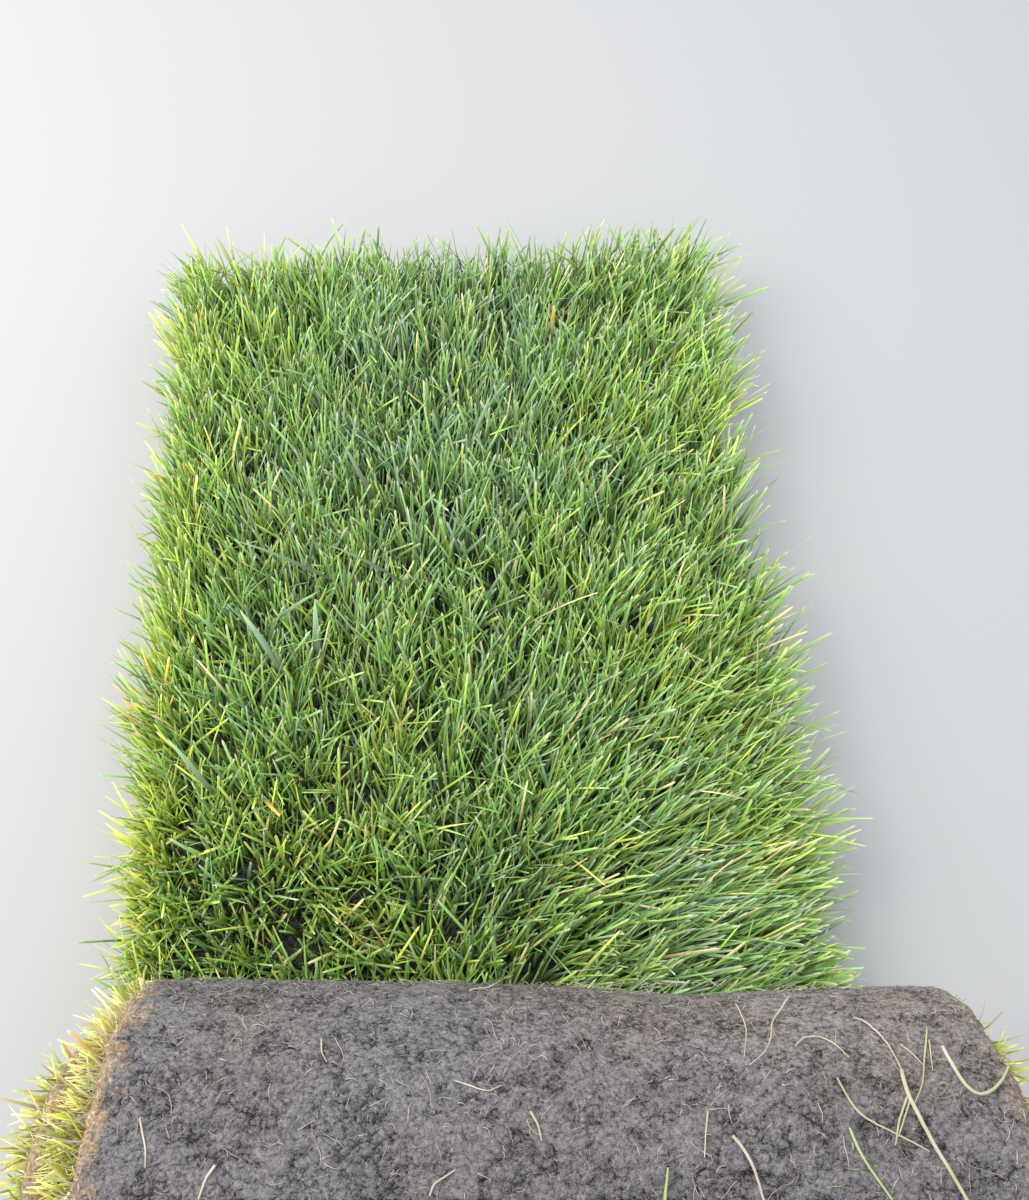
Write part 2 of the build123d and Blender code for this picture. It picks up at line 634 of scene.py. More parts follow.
def new_material(name: str, **settings: object) -> tuple[Material, Nodes, Node]:
    """A material of one Principled shader.

    Args:
        name: The material's name.
        **settings: Inputs of the shader that are the same all over.

    Returns:
        The material, a hand on its nodes, and the shader node.
    """
    made = bpy.data.materials.new(name)
    made.use_nodes = True
    made.node_tree.nodes.clear()
    n = Nodes(made.node_tree)
    shader = n.add("BsdfPrincipled", **settings)
    n.add("OutputMaterial", Surface=shader.outputs[0])
    return made, n, shader


class Workshop:
    """Holds the node groups that the materials share, each built once."""

    def __init__(self) -> None:
        """Makes the groups."""
        self.grain = grain_group()
        self.mat = matted_group()
        self.crumbs = crumb_group()


@dataclass(frozen=True)
class EarthFinish:
    """Moist peaty earth: cool grey with painted shade in its crevices and cracks and painted light on its
    raised ground, matted with fine roots, and a tan felt at its edges.
    Sizes are in cells per metre."""

    # The earth's ramp runs from painted shade and dark grain, through the plain face colour, to painted light
    # on ridges and pale grain.
    hollow: tuple = linear(40, 38, 39)
    face: tuple = linear(118, 117, 120)
    ridge_light_and_pale_grain: tuple = linear(164, 162, 163)
    warm: tuple = linear(248, 240, 232)
    crest_lightening: tuple = (1.52, 1.43, 1.36, 1.0)
    root: tuple = linear(204, 198, 192)
    felt: tuple = linear(246, 216, 172)
    felt_dark: tuple = linear(134, 104, 76)
    clod_size: float = 260.0
    slit_size: float = 410.0
    tone: float = 0.36  # how light the earth is before the painted light and shade of its relief, its grain and the painted shade of its cracks are added
    depth: float = 0.95 * MM

    def make(self, shop: Workshop) -> Material:
        """Builds the material. It reads the numbers that the mesh carries: relief_and_shade, the painted
        light and shade of the relief, felt, and dry, which makes the earth lighter on the crest.

        Args:
            shop: The shared node groups.

        Returns:
            The material.
        """
        made, n, shader = new_material("earth", Roughness=0.93, Specular_IOR_Level=0.2)
        grain = n.use(shop.grain, Fine=1900.0, Middle=520.0, Broad=12.0).outputs
        crumbs = n.use(shop.crumbs, Size=self.clod_size).outputs
        roots = n.use(shop.mat, Size=self.clod_size).outputs["Lines"]
        # Thin dark slits: painted shade, as in fine cracks, over part of the earth.
        slit_shade = n.use(shop.mat, Size=self.slit_size).outputs["Lines"]
        slit_shade = n.times(slit_shade, n.stretch(grain["Middle"], 0.35, 0.6, 1.0, 0.0))
        # Painted light and shade that follows the relief: darker in crevices and cracks, lighter on raised
        # ground.
        relief_and_shade = n.number("relief_and_shade")
        loose = n.stretch(relief_and_shade, 0.3, 0.66, 1.0, 0.5)
        # Painted shade in the cracks between crumbs, more on loose ground.
        seam_shade = n.times(crumbs["SeamShade"], loose)
        speckle = n.times(n.maths("SUBTRACT", grain["Fine"], 0.5), loose)
        parts = ((relief_and_shade, 0.5), (grain["Middle"], 0.18), (speckle, 0.52), (seam_shade, -0.78), (slit_shade, -0.34))
        level = n.add_up(self.tone, *parts)
        colour = n.ramp(level, (0.2, self.hollow), (0.56, self.face), (0.95, self.ridge_light_and_pale_grain))
        colour = n.blend(n.times(roots, 0.26), colour, self.root)
        colour = n.blend(grain["Broad"], colour, n.blend(1.0, colour, self.warm, "MULTIPLY"))
        # Lighter on the crest of the roll and more to the right.
        colour = n.blend(n.number("dry"), colour, n.blend(1.0, colour, self.crest_lightening, "MULTIPLY"))
        matted = n.add_up(n.times(roots, 0.75), (grain["Middle"], 0.6))
        fibres = n.blend(matted, self.felt_dark, self.felt)
        n.feed(shader.inputs["Base Color"], n.blend(n.number("felt"), colour, fibres))
        height = n.times(n.add_up(grain["Height"], (roots, 0.4)), 0.6)
        n.bump(shader, n.add_up(height, (crumbs["Height"], 1.5)), self.depth)
        return made


@dataclass(frozen=True)
class RootFinish:
    """Fine pale rootlets and loose stems, from straw to green."""

    pale: tuple = linear(226, 218, 202)
    tan: tuple = linear(180, 160, 136)
    green: tuple = linear(170, 186, 118)

    def make(self, shop: Workshop) -> Material:
        """Builds the material. It reads the number green that loose stems carry.

        Args:
            shop: The shared node groups.

        Returns:
            The material.
        """
        made, n, shader = new_material("rootlet", Roughness=0.65, Specular_IOR_Level=0.35)
        grain = n.use(shop.grain, Fine=1200.0, Middle=400.0, Broad=60.0).outputs
        dry = n.blend(grain["Broad"], self.tan, self.pale)
        n.feed(shader.inputs["Base Color"], n.blend(n.number("green"), dry, self.green))
        return made


@dataclass(frozen=True)
class ThatchFinish:
    """Grass pressed flat between two turns: a felt of green and straw fibres lying across the strip."""

    deep: tuple = linear(100, 90, 46)
    green: tuple = linear(160, 158, 78)
    straw: tuple = linear(216, 196, 126)
    depth: float = 0.8 * MM

    def make(self, shop: Workshop) -> Material:
        """Builds the material.

        Args:
            shop: The shared node groups.

        Returns:
            The material.
        """
        made, n, shader = new_material("thatch", Roughness=0.8, Specular_IOR_Level=0.2)
        grain = n.use(shop.grain, Fine=1500.0, Middle=600.0, Broad=45.0).outputs
        roots = n.use(shop.mat, Size=330.0).outputs["Lines"]
        colour = n.ramp(grain["Middle"], (0.15, self.deep), (0.6, self.green), (0.95, self.straw))
        n.feed(shader.inputs["Base Color"], n.blend(n.times(roots, 0.7), colour, self.straw))
        n.bump(shader, n.maths("ADD", grain["Height"], roots), self.depth)
        return made


@dataclass(frozen=True)
class BladeFinish:
    """Lawn grass. Across the blade map the kinds of blade run from golden and straw through yellow-green and
    green to blue-green, and up the map each runs from its pale foot to its tip."""

    kinds: int = 96
    gold: tuple = linear(236, 192, 84)
    straw: tuple = linear(236, 220, 160)
    yellow: tuple = linear(222, 230, 88)
    fresh: tuple = linear(174, 214, 92)
    green: tuple = linear(138, 192, 90)
    cool: tuple = linear(132, 176, 110)
    blue: tuple = linear(138, 174, 144)
    foot: tuple = linear(222, 216, 136)
    dry_tip: tuple = linear(240, 232, 200)

    def make(self) -> Material:
        """Builds the material, which reads only the blade map. Each kind has its own shade, a pale rib down
        its middle and pale margins, which are painted highlights. It is painted darker low down and lighter
        towards its tip, as painted shade in the sward and painted light on the tips. A mown tip is dry.

        Returns:
            The material.
        """
        made, n, shader = new_material("grass_blade", Roughness=0.42, Specular_IOR_Level=0.42)
        split = n.add("SeparateXYZ", Vector=n.add("UVMap", {"uv_map": BLADE_MAP}).outputs[0])
        across, along = split.outputs[0], split.outputs[1]
        column = n.times(across, float(self.kinds))
        own = n.add("TexWhiteNoise", {"noise_dimensions": "1D"}, W=n.maths("FLOOR", column)).outputs["Value"]
        dry = ((0.0, self.gold), (0.045, self.gold), (0.06, self.straw), (0.13, self.straw))
        warm = ((0.22, self.yellow), (0.42, self.fresh))
        cold = ((0.6, self.green), (0.8, self.cool), (1.0, self.blue))
        colour = n.shaded(n.ramp(across, *dry, *warm, *cold), n.stretch(own, 0.0, 1.0, 0.52, 1.42))
        rib = n.maths("ABSOLUTE", n.maths("SUBTRACT", n.maths("FRACT", column), 0.5))
        colour = n.blend(n.stretch(rib, 0.0, 0.08, 0.35, 0.0), colour, self.foot)
        # Pale margins: painted highlights along the blade's edges.
        colour = n.blend(n.stretch(rib, 0.28, 0.42, 0.0, 0.4), colour, self.foot)
        colour = n.blend(n.stretch(along, 0.04, 0.22, 0.35, 0.0), colour, self.foot)
        # Painted shade low in the sward and painted light towards the tips: darker near the foot, lighter up
        # the blade.
        colour = n.shaded(colour, n.stretch(along, 0.15, 0.85, 0.38, 1.22))
        colour = n.blend(n.stretch(along, 0.9, 0.97, 0.0, 0.6), colour, self.dry_tip)
        n.feed(shader.inputs["Base Color"], colour)
        return made


# The layers of the strip.


@dataclass(frozen=True)
class Dent:
    """A bell-shaped hollow in the earth face: its place along and across the strip, its two sizes, and its
    height, which is negative."""

    along: float
    across: float
    length: float
    width: float
    height: float


@dataclass
class Band:
    """One length of a layer of the strip: its stretch along the strip, its depths, its grid and its dents.

    It has about as many points as back says over its grass side and as across says over its earth face, and
    side_rows of them down each edge. A band with a corner starts at a cut end that shows, with its two
    corners rounded in plan by that radius. The number felted is how tan its cut edges are.
    """

    name: str
    start: float
    end: float
    rows: int
    across: int
    top: float = 0.0
    bottom: float = 16 * MM
    side_rows: int = 9
    back: int = 24
    rounding: float = 6 * MM
    corner: float = 0.0
    felted: float = 1.0
    dents: list[Dent] = field(default_factory=list)

    def stations(self, cut_rows: int = 5, corner_rows: int = 9) -> tuple[Array, Array]:
        """Where the rings of the layer lie.

        Args:
            cut_rows: Extra rings that close the cut end by shrinking towards its middle line.
            corner_rows: Extra rings over the rounded corners.

        Returns:
            Distance along the strip, and the share of the layer's thickness, for each ring.
        """
        if not self.corner:
            return np.linspace(self.start, self.end, self.rows), np.ones(self.rows)
        arc = self.corner * (1 - np.cos(np.linspace(0, math.pi / 2, corner_rows, endpoint=False)))
        straight = np.linspace(self.start + self.corner, self.end, self.rows)
        s = np.concatenate([np.full(cut_rows, self.start), self.start + arc, straight])
        return s, np.minimum(0.08 + 0.92 * np.arange(len(s)) / cut_rows, 1.0)

    def section(self, width: float) -> tuple[Array, Array, Array, Array, Array]:
        """The cut section of the layer as a closed line of points. It starts in the middle of the grass side,
        goes round the left edge, over the earth face and back round the right edge, its mirror image.

        Args:
            width: Width of the strip.

        Returns:
            Place across, depth, the two parts of the outward direction, and the distance along the line from
            the middle of the earth face.
        """
        half, r = width / 2, self.rounding
        back = np.linspace(0, half - MM, self.back // 2, endpoint=False)
        side = np.linspace(self.bottom, self.top + r, self.side_rows, endpoint=False)
        turn = np.linspace(0, math.pi / 2, 6, endpoint=False)
        face = np.linspace(-half + r, 0, self.across // 2, endpoint=False)
        cos, sin = np.cos(turn), np.sin(turn)
        no_back, no_side, no_face = np.zeros(len(back)), np.zeros(len(side)), np.zeros(len(face))
        w, depth, out_w, out_d = (
            np.concatenate([*left, [middle], mirrored * np.concatenate(left)[:0:-1]])
            for left, middle, mirrored in (
                ((-back, no_side - half, -half + r - r * cos, face), 0.0, -1),
                ((no_back + self.bottom, side, self.top + r - r * sin, no_face + self.top), self.top, 1),
                ((no_back, no_side - 1, -cos, no_face), 0.0, -1),
                ((no_back + 1, no_side, -sin, no_face - 1), -1.0, 1),
            )
        )
        run = np.concatenate([[0.0], np.cumsum(np.hypot(np.diff(w), np.diff(depth)))])
        return w, depth, out_w, out_d, run - run[len(run) // 2]


@dataclass
class SoilMat:
    """The mat of soil and roots, in lengths that share their edges."""

    strip: Strip
    seed: int = 11
    felt_width: float = 14 * MM  # how far the tan felt reaches in from a cut edge

    def relief_and_shade(self, s: Array, run: Array) -> tuple[Array, Array]:
        """The crumbled surface over the clean cut. Soft swells carry two kinds of ground: worn patches that
        are nearly even, and loose ground of small clods with crevices between them. Fine cracks run across
        the strip. All cell sizes and heights are in millimetres.

        Args:
            s: Distance along the strip.
            run: Distance round the section from the middle of the earth face.

        Returns:
            Heights in metres, and how open or shaded each place is, from 0 to 1.
        """
        x, y, seed = s / MM, run / MM, self.seed
        bent_x = x + 2.5 * waves(x / 11, y / 11, seed + 1)
        bent_y = y + 2.5 * waves(x / 11, y / 11, seed + 2)
        swell = layered(x, y, seed, (1.2, 55, 75, 3), (0.7, 22, 26, 4))
        patches = waves(bent_x / 8, bent_y / 10, seed + 5)
        worn = ease(layered(x, y, seed, (0.6, 4.5, 5.5, 11), base=patches), -0.3, 0.5)
        clod, next_clod = clods(bent_x / 4.4, bent_y / 5.6, seed + 6)
        crevice = bell(next_clod - clod, 0, 0.22) * ease(waves(x / 9, y / 9, seed + 12), -0.5, 0.4)
        crumbs = layered(x, y, seed, (0.5, 3.1, 3.6, 7), (0.35, 1.8, 1.9, 8))
        loose = 0.35 * (0.5 - clod) - 0.9 * crevice + crumbs
        line = np.abs(waves(bent_x / 5.5, bent_y / 30, seed + 9))
        crack = bell(line, 0, 0.08) * ease(waves(x / 26, y / 40, seed + 10), -0.1, 0.5)
        detail = (1 - worn) * loose + worn * (0.42 + 0.3 * crumbs) - 0.7 * crack
        # The second value is painted light and shade: it falls in crevices and cracks and rises on raised
        # ground.
        return (swell + detail) * MM, np.clip(0.46 + 0.36 * detail, 0, 1)

    def face_height(self, s: Array, w: Array) -> Array:
        """Height of the crumbled earth face at a place on the strip."""
        return self.relief_and_shade(s, w)[0]

    def felt(self, s: Array, w: Array, run: Array) -> tuple[Array, Array]:
        """How tan the earth is: a ragged band of felt along the cut edges, with painted light that makes it
        strongest on the left at the two top lines of the roll.

        Args:
            s: Distance along the strip, one row for each ring.
            w: Distance across the strip, one column for each point of the section.
            run: Distance round the section.

        Returns:
            The felt of the long edges, from 0 to 1, and the painted light that scales it.
        """
        rim = 1 - (self.strip.width / 2 - np.abs(w)) / self.felt_width
        hair = ease(rim + 0.45 * waves(s / (5 * MM), run / (4 * MM), self.seed + 22), 0.1, 0.85)
        tops = (self.strip.starts[1] + 40 * MM, self.strip.starts[3])
        # Painted light: the felt is strongest on the left at the two top lines of the roll, and even on the
        # right.
        painted_felt_light = 0.26 + 0.66 * sum(bell(s, top, 115 * MM) for top in tops)
        return hair, np.where(w < 0, painted_felt_light, 0.3)

    def crest_lightening(self, s: Array, w: Array) -> Array:
        """How much lighter the earth is made: most on the crest of the roll, and more to the right."""
        crest = bell(s - self.strip.starts[1], 95 * MM, 45 * MM)
        return crest * (0.2 + 0.8 * ease(w, -60 * MM, 110 * MM))

    def build(self, band: Band) -> Piece:
        """Makes one length of the mat as a closed crumbled block.

        Args:
            band: The length to make.

        Returns:
            The new object, with the numbers relief_and_shade, felt and dry on its vertices.
        """
        w, depth, out_w, out_d, run = (part[None, :] for part in band.section(self.strip.width))
        s, share = (part[:, None] for part in band.stations())
        middle = (band.top + band.bottom) / 2
        depth = middle + (depth - middle) * share
        rise, painted_light = self.relief_and_shade(s, run)
        ragged = layered(
            s, depth, self.seed, (1.0, 9 * MM, 7 * MM, 20), (0.6, 3 * MM, 3 * MM, 21), shift=np.sign(w) * 40
        )
        for dent in band.dents:
            ahead, aside = (s - dent.along) / dent.length, (w - dent.across) / dent.width
            rise = rise + dent.height * np.exp(-(ahead**2) - aside**2)
        inner, at_cut = out_d > 0.5, share < 1
        torn_edge = np.abs(out_w) * (1.3 * ragged - 0.4) * MM
        push = np.where(inner | at_cut, 0.0, rise + torn_edge)
        at_w, at_s = w + out_w * push, s
        if band.corner:
            over = np.clip(band.corner - (s - band.start), 0, band.corner)
            at_w = at_w * (1 - (band.corner - np.sqrt(band.corner**2 - over**2)) / (self.strip.width / 2))
            torn = layered(at_w, depth, self.seed, (1.0, 9 * MM, 6 * MM, 23), (0.7, 3 * MM, 2.5 * MM, 24))
            at_s = s - 1.1 * MM * torn * np.exp(-(s - band.start) / (4 * MM)) * ease(share, 0.08, 0.4)
            # On a band with a cut end: a middle painted light on the cut end, and painted shade on the grass
            # side, which lies covered.
            painted_light = np.where(at_cut, 0.4 + 0.25 * torn, np.where(inner, 0.12, painted_light))
        points = self.strip.place(at_s, at_w, depth + out_d * push)
        points[..., 2] = np.maximum(points[..., 2], 0)
        made = new_object(band.name, with_end_middles(points), closed_tube(*points.shape[:2]))
        hair, painted_felt_light = self.felt(s, w, run)
        felt = np.where(at_cut, 1.0, hair) * band.felted * painted_felt_light
        for name, values in (("relief_and_shade", painted_light), ("felt", felt), ("dry", self.crest_lightening(s, w))):
            put_number(made, name, with_end_middles(values))
        return made


@dataclass
class PressedGrass:
    """The grass that is wound in between two turns, as one felted layer whose edges show on the ends."""

    strip: Strip
    seed: int = 41
    narrower: float = 3 * MM

    def build(self, band: Band) -> Piece:
        """Makes the layer as a closed ribbon with fibrous edges.

        Args:
            band: The length to make.

        Returns:
            The new object.
        """
        w, depth, out_w, _, _ = (part[None, :] for part in band.section(self.strip.width - self.narrower))
        s = np.linspace(band.start, band.end, band.rows)[:, None]
        fibres = ((1.6, 4 * MM, 1.5 * MM, 0), (2.0, 16 * MM, 5 * MM, 1))
        ragged = layered(s, depth, self.seed, *fibres, shift=np.sign(w) * 30)
        points = self.strip.place(s, w + out_w * ragged * MM, depth)
        return new_object(band.name, with_end_middles(points), closed_tube(*points.shape[:2]))


# Rootlets and loose stems.


def through(corners: Array, count: int) -> Array:
    """A smooth line through a few points: evenly spaced along them, then averaged with its neighbours.

    Args:
        corners: The points, one row each.
        count: Number of points on the line.

    Returns:
        The line's points.
    """
    run = np.concatenate([[0.0], np.cumsum(np.linalg.norm(np.diff(corners, axis=0), axis=1))])
    even = np.linspace(0, run[-1], count)
    line = np.stack([np.interp(even, run, part) for part in corners.T], -1)
    for _ in range(3):
        line[1:-1] = (line[:-2] + 2 * line[1:-1] + line[2:]) / 4
    return line


def unit(vectors: Array) -> Array:
    """The vectors at length 1."""
    return vectors / np.maximum(np.linalg.norm(vectors, axis=-1, keepdims=True), 1e-9)


def strands(name: str, lines: Array, radii: Array, normals: Array, sides: int) -> Piece:
    """Makes many thin closed tubes as one mesh.

    Args:
        name: The piece's name.
        lines: Middle lines, as strands by rings by 3.
        radii: Radius at each ring, as strands by rings.
        normals: A direction across each line at each ring.
        sides: Points round each ring.

    Returns:
        The new object.
    """
    along = unit(np.gradient(lines, axis=1))
    first = unit(np.cross(along, normals))
    second = np.cross(along, first)
    turn = (np.arange(sides) * 2 * math.pi / sides)[:, None]
    ring = first[:, :, None] * np.cos(turn) + second[:, :, None] * np.sin(turn)
    points = lines[:, :, None] + ring * radii[:, :, None, None]
    count, rings = lines.shape[:2]
    rows = np.concatenate([points.reshape(count, -1, 3), lines[:, :1], lines[:, -1:]], 1)
    shift = np.arange(count)[:, None, None] * (rings * sides + 2)
    faces = [(f[None] + shift).reshape(-1, f.shape[1]) for f in closed_tube(rings, sides)]
    return new_object(name, rows.reshape(-1, 3), faces)


@dataclass
class Rootlets:
    """Fine roots that lie over the earth face and stick out of its cut edges."""

    strip: Strip
    soil: SoilMat
    rings: int = 5

    def on_face(self, rng: np.random.Generator, low: float, high: float, count: int) -> Strands:
        """Rootlets that wander over the earth face and cling to its bumps.

        Args:
            rng: Where the random numbers come from.
            low: Least distance along the strip.
            high: Greatest distance along the strip.
            count: Number of rootlets.

        Returns:
            Lines, radii and normals for strands.
        """
        t = np.linspace(0, 1, self.rings)[None, :]
        length = rng.gamma(2.6, 2.7, count)[:, None] * MM
        curl = rng.normal(0, 0.8, count)[:, None]
        heading = rng.uniform(0, 2 * math.pi, count)[:, None] + curl * t + 0.3 * np.sin(5 * t + curl * 9)
        half = self.strip.width / 2
        s = rng.uniform(low, high, count)[:, None] + np.cumsum(np.cos(heading), 1) / self.rings * length
        w = rng.uniform(-half, half, count)[:, None] + np.cumsum(np.sin(heading), 1) / self.rings * length
        s, w = np.clip(s, low, high), np.clip(w, -half + 4 * MM, half - 4 * MM)
        lift = np.sin(math.pi * t) * rng.uniform(0.2, 1.6, count)[:, None] * MM
        lines = self.strip.place(s, w, -(self.soil.face_height(s, w) + lift))
        normals = lines - self.strip.place(s, w, MM)
        lines[..., 2] = np.maximum(lines[..., 2], 0.3 * MM)
        radii = rng.uniform(0.12, 0.26, count)[:, None] * (1 - 0.6 * t) * MM
        return lines, radii, normals

    def on_edge(self, rng: np.random.Generator, low: float, high: float, count: int, side: Side) -> Strands:
        """Rootlets that stick out of a cut edge and droop.

        Args:
            rng: Where the random numbers come from.
            low: Least distance along the strip.
            high: Greatest distance along the strip.
            count: Number of rootlets.
            side: The long side that they stick out of.

        Returns:
            Lines, radii and normals for strands.
        """
        t = np.linspace(0, 1, self.rings)[None, :, None]
        s = rng.uniform(low, high, count)
        depth = rng.uniform(1.0, 15.0, count) * MM
        edge = side.value * (self.strip.width / 2 - 2 * MM)
        root = self.strip.place(s, np.full(count, edge), depth)[:, None]
        out = rng.normal(0, 0.55, (count, 1, 3)) + [side.value * 1.0, 0.0, 0.1]
        reach = rng.uniform(4.0, 10.0, count)[:, None, None] * MM
        lines = root + out * t * reach + rng.normal(0, 0.35, (count, 1, 3)) * t**2 * reach
        lines[..., 2] = np.maximum(lines[..., 2] - (t**2 * reach)[..., 0] * 0.35, MM)
        radii = rng.uniform(0.13, 0.28, count)[:, None] * (1 - 0.6 * t[..., 0]) * MM
        across_most = [0.21, 0.9, 0.37]  # a fixed direction that few rootlets run along
        return lines, radii, np.broadcast_to(across_most, lines.shape)

    def build(self, name: str, groups: list[Strands]) -> Piece:
        """Makes several groups of rootlets as one piece."""
        return strands(name, *[np.concatenate(part) for part in zip(*groups)], sides=3)


@dataclass(frozen=True)
class Stem:
    """A loose grass stem on the roll: the places it passes, its radius, how green its two ends are, and how
    far it stands off the earth.

    A place is (distance from the roll's top line towards the flat part, distance across). Both, the radius
    and the lift are in millimetres.
    """

    places: tuple
    radius: float
    green: tuple[float, float]
    lift: float = 0.6


LOOSE_STEMS = (
    Stem(
        ((57, 170), (50, 171), (42.5, 173), (37, 178), (38, 184), (42.6, 191), (49, 196.5)),
        0.85,
        (0.1, 0.75),
        3.5,
    ),
    Stem(((76, 137), (73.7, 142), (63, 147), (51, 149), (45, 149.5)), 0.5, (0.1, 0.1)),
    Stem(
        ((48, 149), (37, 147.5), (30, 151), (21, 153.5), (12, 158), (0, 164), (-14, 171)),
        0.95,
        (0.1, 0.65),
        1.4,
    ),
    Stem(((37, 148), (28, 142), (19, 138)), 0.5, (0.4, 0.7), 1.0),
    Stem(((36, 149), (28, 144), (22, 140)), 0.4, (0.3, 0.6), 1.0),
    Stem(((45, 120), (37, 122), (31, 125), (27, 132), (23, 140), (20, 146.5), (17, 152)), 0.5, (0.5, 0.5)),
    Stem(((70, 169), (54, 161.5), (42, 156.5), (34, 150)), 0.45, (0.55, 0.4)),
    Stem(((63, 167), (48, 163)), 0.35, (0.4, 0.4)),
    Stem(((88, 85), (77, 86), (68, 85.5), (54, 81)), 0.35, (0.1, 0.2)),
    Stem(((97, 114), (81, 104), (74, 98), (66, 96.5), (57, 92), (50, 82.5)), 0.45, (0.1, 0.35)),
    Stem(((59, 105), (64, 110), (65, 117), (61, 123), (54, 128)), 0.4, (0.1, 0.2)),
    Stem(((-6, 39), (0.4, 40), (11, 42)), 0.7, (0.9, 0.8), 1.2),
    Stem(((22, 70), (17, 74.5), (10.5, 78), (0.5, 80), (-8, 84)), 0.7, (0.0, 0.1), 1.2),
    Stem(((31, 61), (22.5, 59), (14.5, 57.5)), 0.35, (0.2, 0.2)),
    Stem(((30.5, -14), (26, -11), (20, -9.5)), 0.5, (0.6, 0.5)),
    Stem(((25, 120), (17.5, 122), (10, 126.5), (0.7, 133), (-9, 139)), 0.6, (0.75, 0.9), 1.0),
    Stem(((11, -142), (7, -145), (0, -147)), 0.6, (0.1, 0.1), 1.0),
    Stem(((1.4, -55), (5.3, -53.5), (8.3, -48), (10, -45)), 0.45, (0.1, 0.1)),
    Stem(((42, -46), (40, -39), (38, -32), (40.7, -26)), 0.35, (0.0, 0.1)),
    Stem(((97, -41), (103, -33), (118, -25)), 0.4, (0.1, 0.1), 1.2),
    Stem(((61, -106), (55, -105), (50, -102)), 0.35, (0.1, 0.1)),
    Stem(((27, -176), (16, -171), (10, -170)), 0.45, (0.05, 0.05)),
    Stem(((60, 153), (56, 157), (50, 160)), 0.35, (0.1, 0.1)),
)


@dataclass
class LooseStems:
    """The stems that lie on the roll."""

    strip: Strip
    soil: SoilMat
    rings: int = 22
    sides: int = 6

    def build(self, name: str, stems: tuple[Stem, ...]) -> Piece:
        """Makes all the stems as one piece, with the number green on its vertices. Each lies a little off the
        earth, highest at its two ends, and thins towards its far end.

        Args:
            name: The piece's name.
            stems: The stems.

        Returns:
            The new object.
        """
        spots = np.stack([through(np.array(stem.places, float), self.rings) for stem in stems]) * MM
        t = np.linspace(0, 1, self.rings)[None, :]
        radius = np.array([stem.radius for stem in stems])[:, None] * MM
        lift = np.array([stem.lift for stem in stems])[:, None] * MM
        s, w = spots[..., 0] + self.strip.starts[1], spots[..., 1]
        off = lift * (0.35 + 0.65 * np.abs(np.cos(math.pi * t)))
        lines = self.strip.place(s, w, -(self.soil.face_height(s, w) * 0.5 + radius + off))
        radii = radius * (1 - 0.45 * t**2)
        made = strands(name, lines, radii, lines - self.strip.place(s, w, MM), self.sides)
        ends = np.array([stem.green for stem in stems])
        green = ends[:, :1] * (1 - t) + ends[:, 1:] * t
        put_number(made, "green", np.concatenate([np.repeat(green, self.sides, 1), ends], 1))
        return made


# Single blades of grass.


@dataclass
class Tuft:
    """Many blades at once, one number or point for each blade. Angles are in radians."""

    root: Array
    heading: Array
    lean: Array
    bend: Array
    length: Array
    width: Array
    twist: Array
    kind: Array
    cut: Array

    def only(self, kept: Array) -> "Tuft":
        """The blades that kept picks."""
        return Tuft(*[getattr(self, part.name)[kept] for part in fields(self)])


